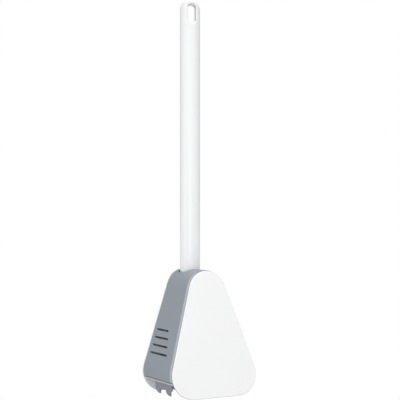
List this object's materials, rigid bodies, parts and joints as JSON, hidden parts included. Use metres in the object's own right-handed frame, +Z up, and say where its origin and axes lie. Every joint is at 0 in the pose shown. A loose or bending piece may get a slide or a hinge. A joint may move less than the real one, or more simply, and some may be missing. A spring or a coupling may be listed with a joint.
{
  "type": "toilet brush with holder",
  "caption": "Toilet brush with a tubular handle, hanging in a closed wall holder with a wedge-shaped housing and side vents; the flat brush head slides out sideways.",
  "frame": {"origin": "centre of the object's box, at the level that its foot stands on", "axes": "+Z up along the handle, the front panel towards -Y, +X to the right, the way that the brush slides out"},
  "size_m": [0.1086, 0.0782, 0.45],
  "materials": {
    "white_plastic": "smooth satin white",
    "grey_plastic": "fine matt blue grey",
    "soft_rubber": "soft matt grey",
    "foam_tape": "dull dark foam",
    "screw_steel": "zinc plated"
  },
  "bodies": {
    "holder": {"back_plate": "grey_plastic", "outer_shell": "grey_plastic", "front_panel": "white_plastic", "hanger_fork": "grey_plastic", "shell_screw_lower": "screw_steel", "shell_screw_upper": "screw_steel", "fork_screw_left": "screw_steel", "fork_screw_right": "screw_steel", "adhesive_pad_lower": "foam_tape", "adhesive_pad_upper": "foam_tape"},
    "brush": {"handle_tube": "white_plastic", "hanging_cap": "white_plastic", "bent_neck": "white_plastic", "head_core": "grey_plastic", "neck_pin": "screw_steel", "front_bristle_pad": "soft_rubber", "rear_bristle_pad": "soft_rubber", "rim_skirt": "soft_rubber"}
  },
  "joints": [
    {"name": "brush_slide", "type": "slide", "parent": "holder", "child": "brush", "axis": [1, 0, 0], "range_m": [0, 0.12]}
  ]
}
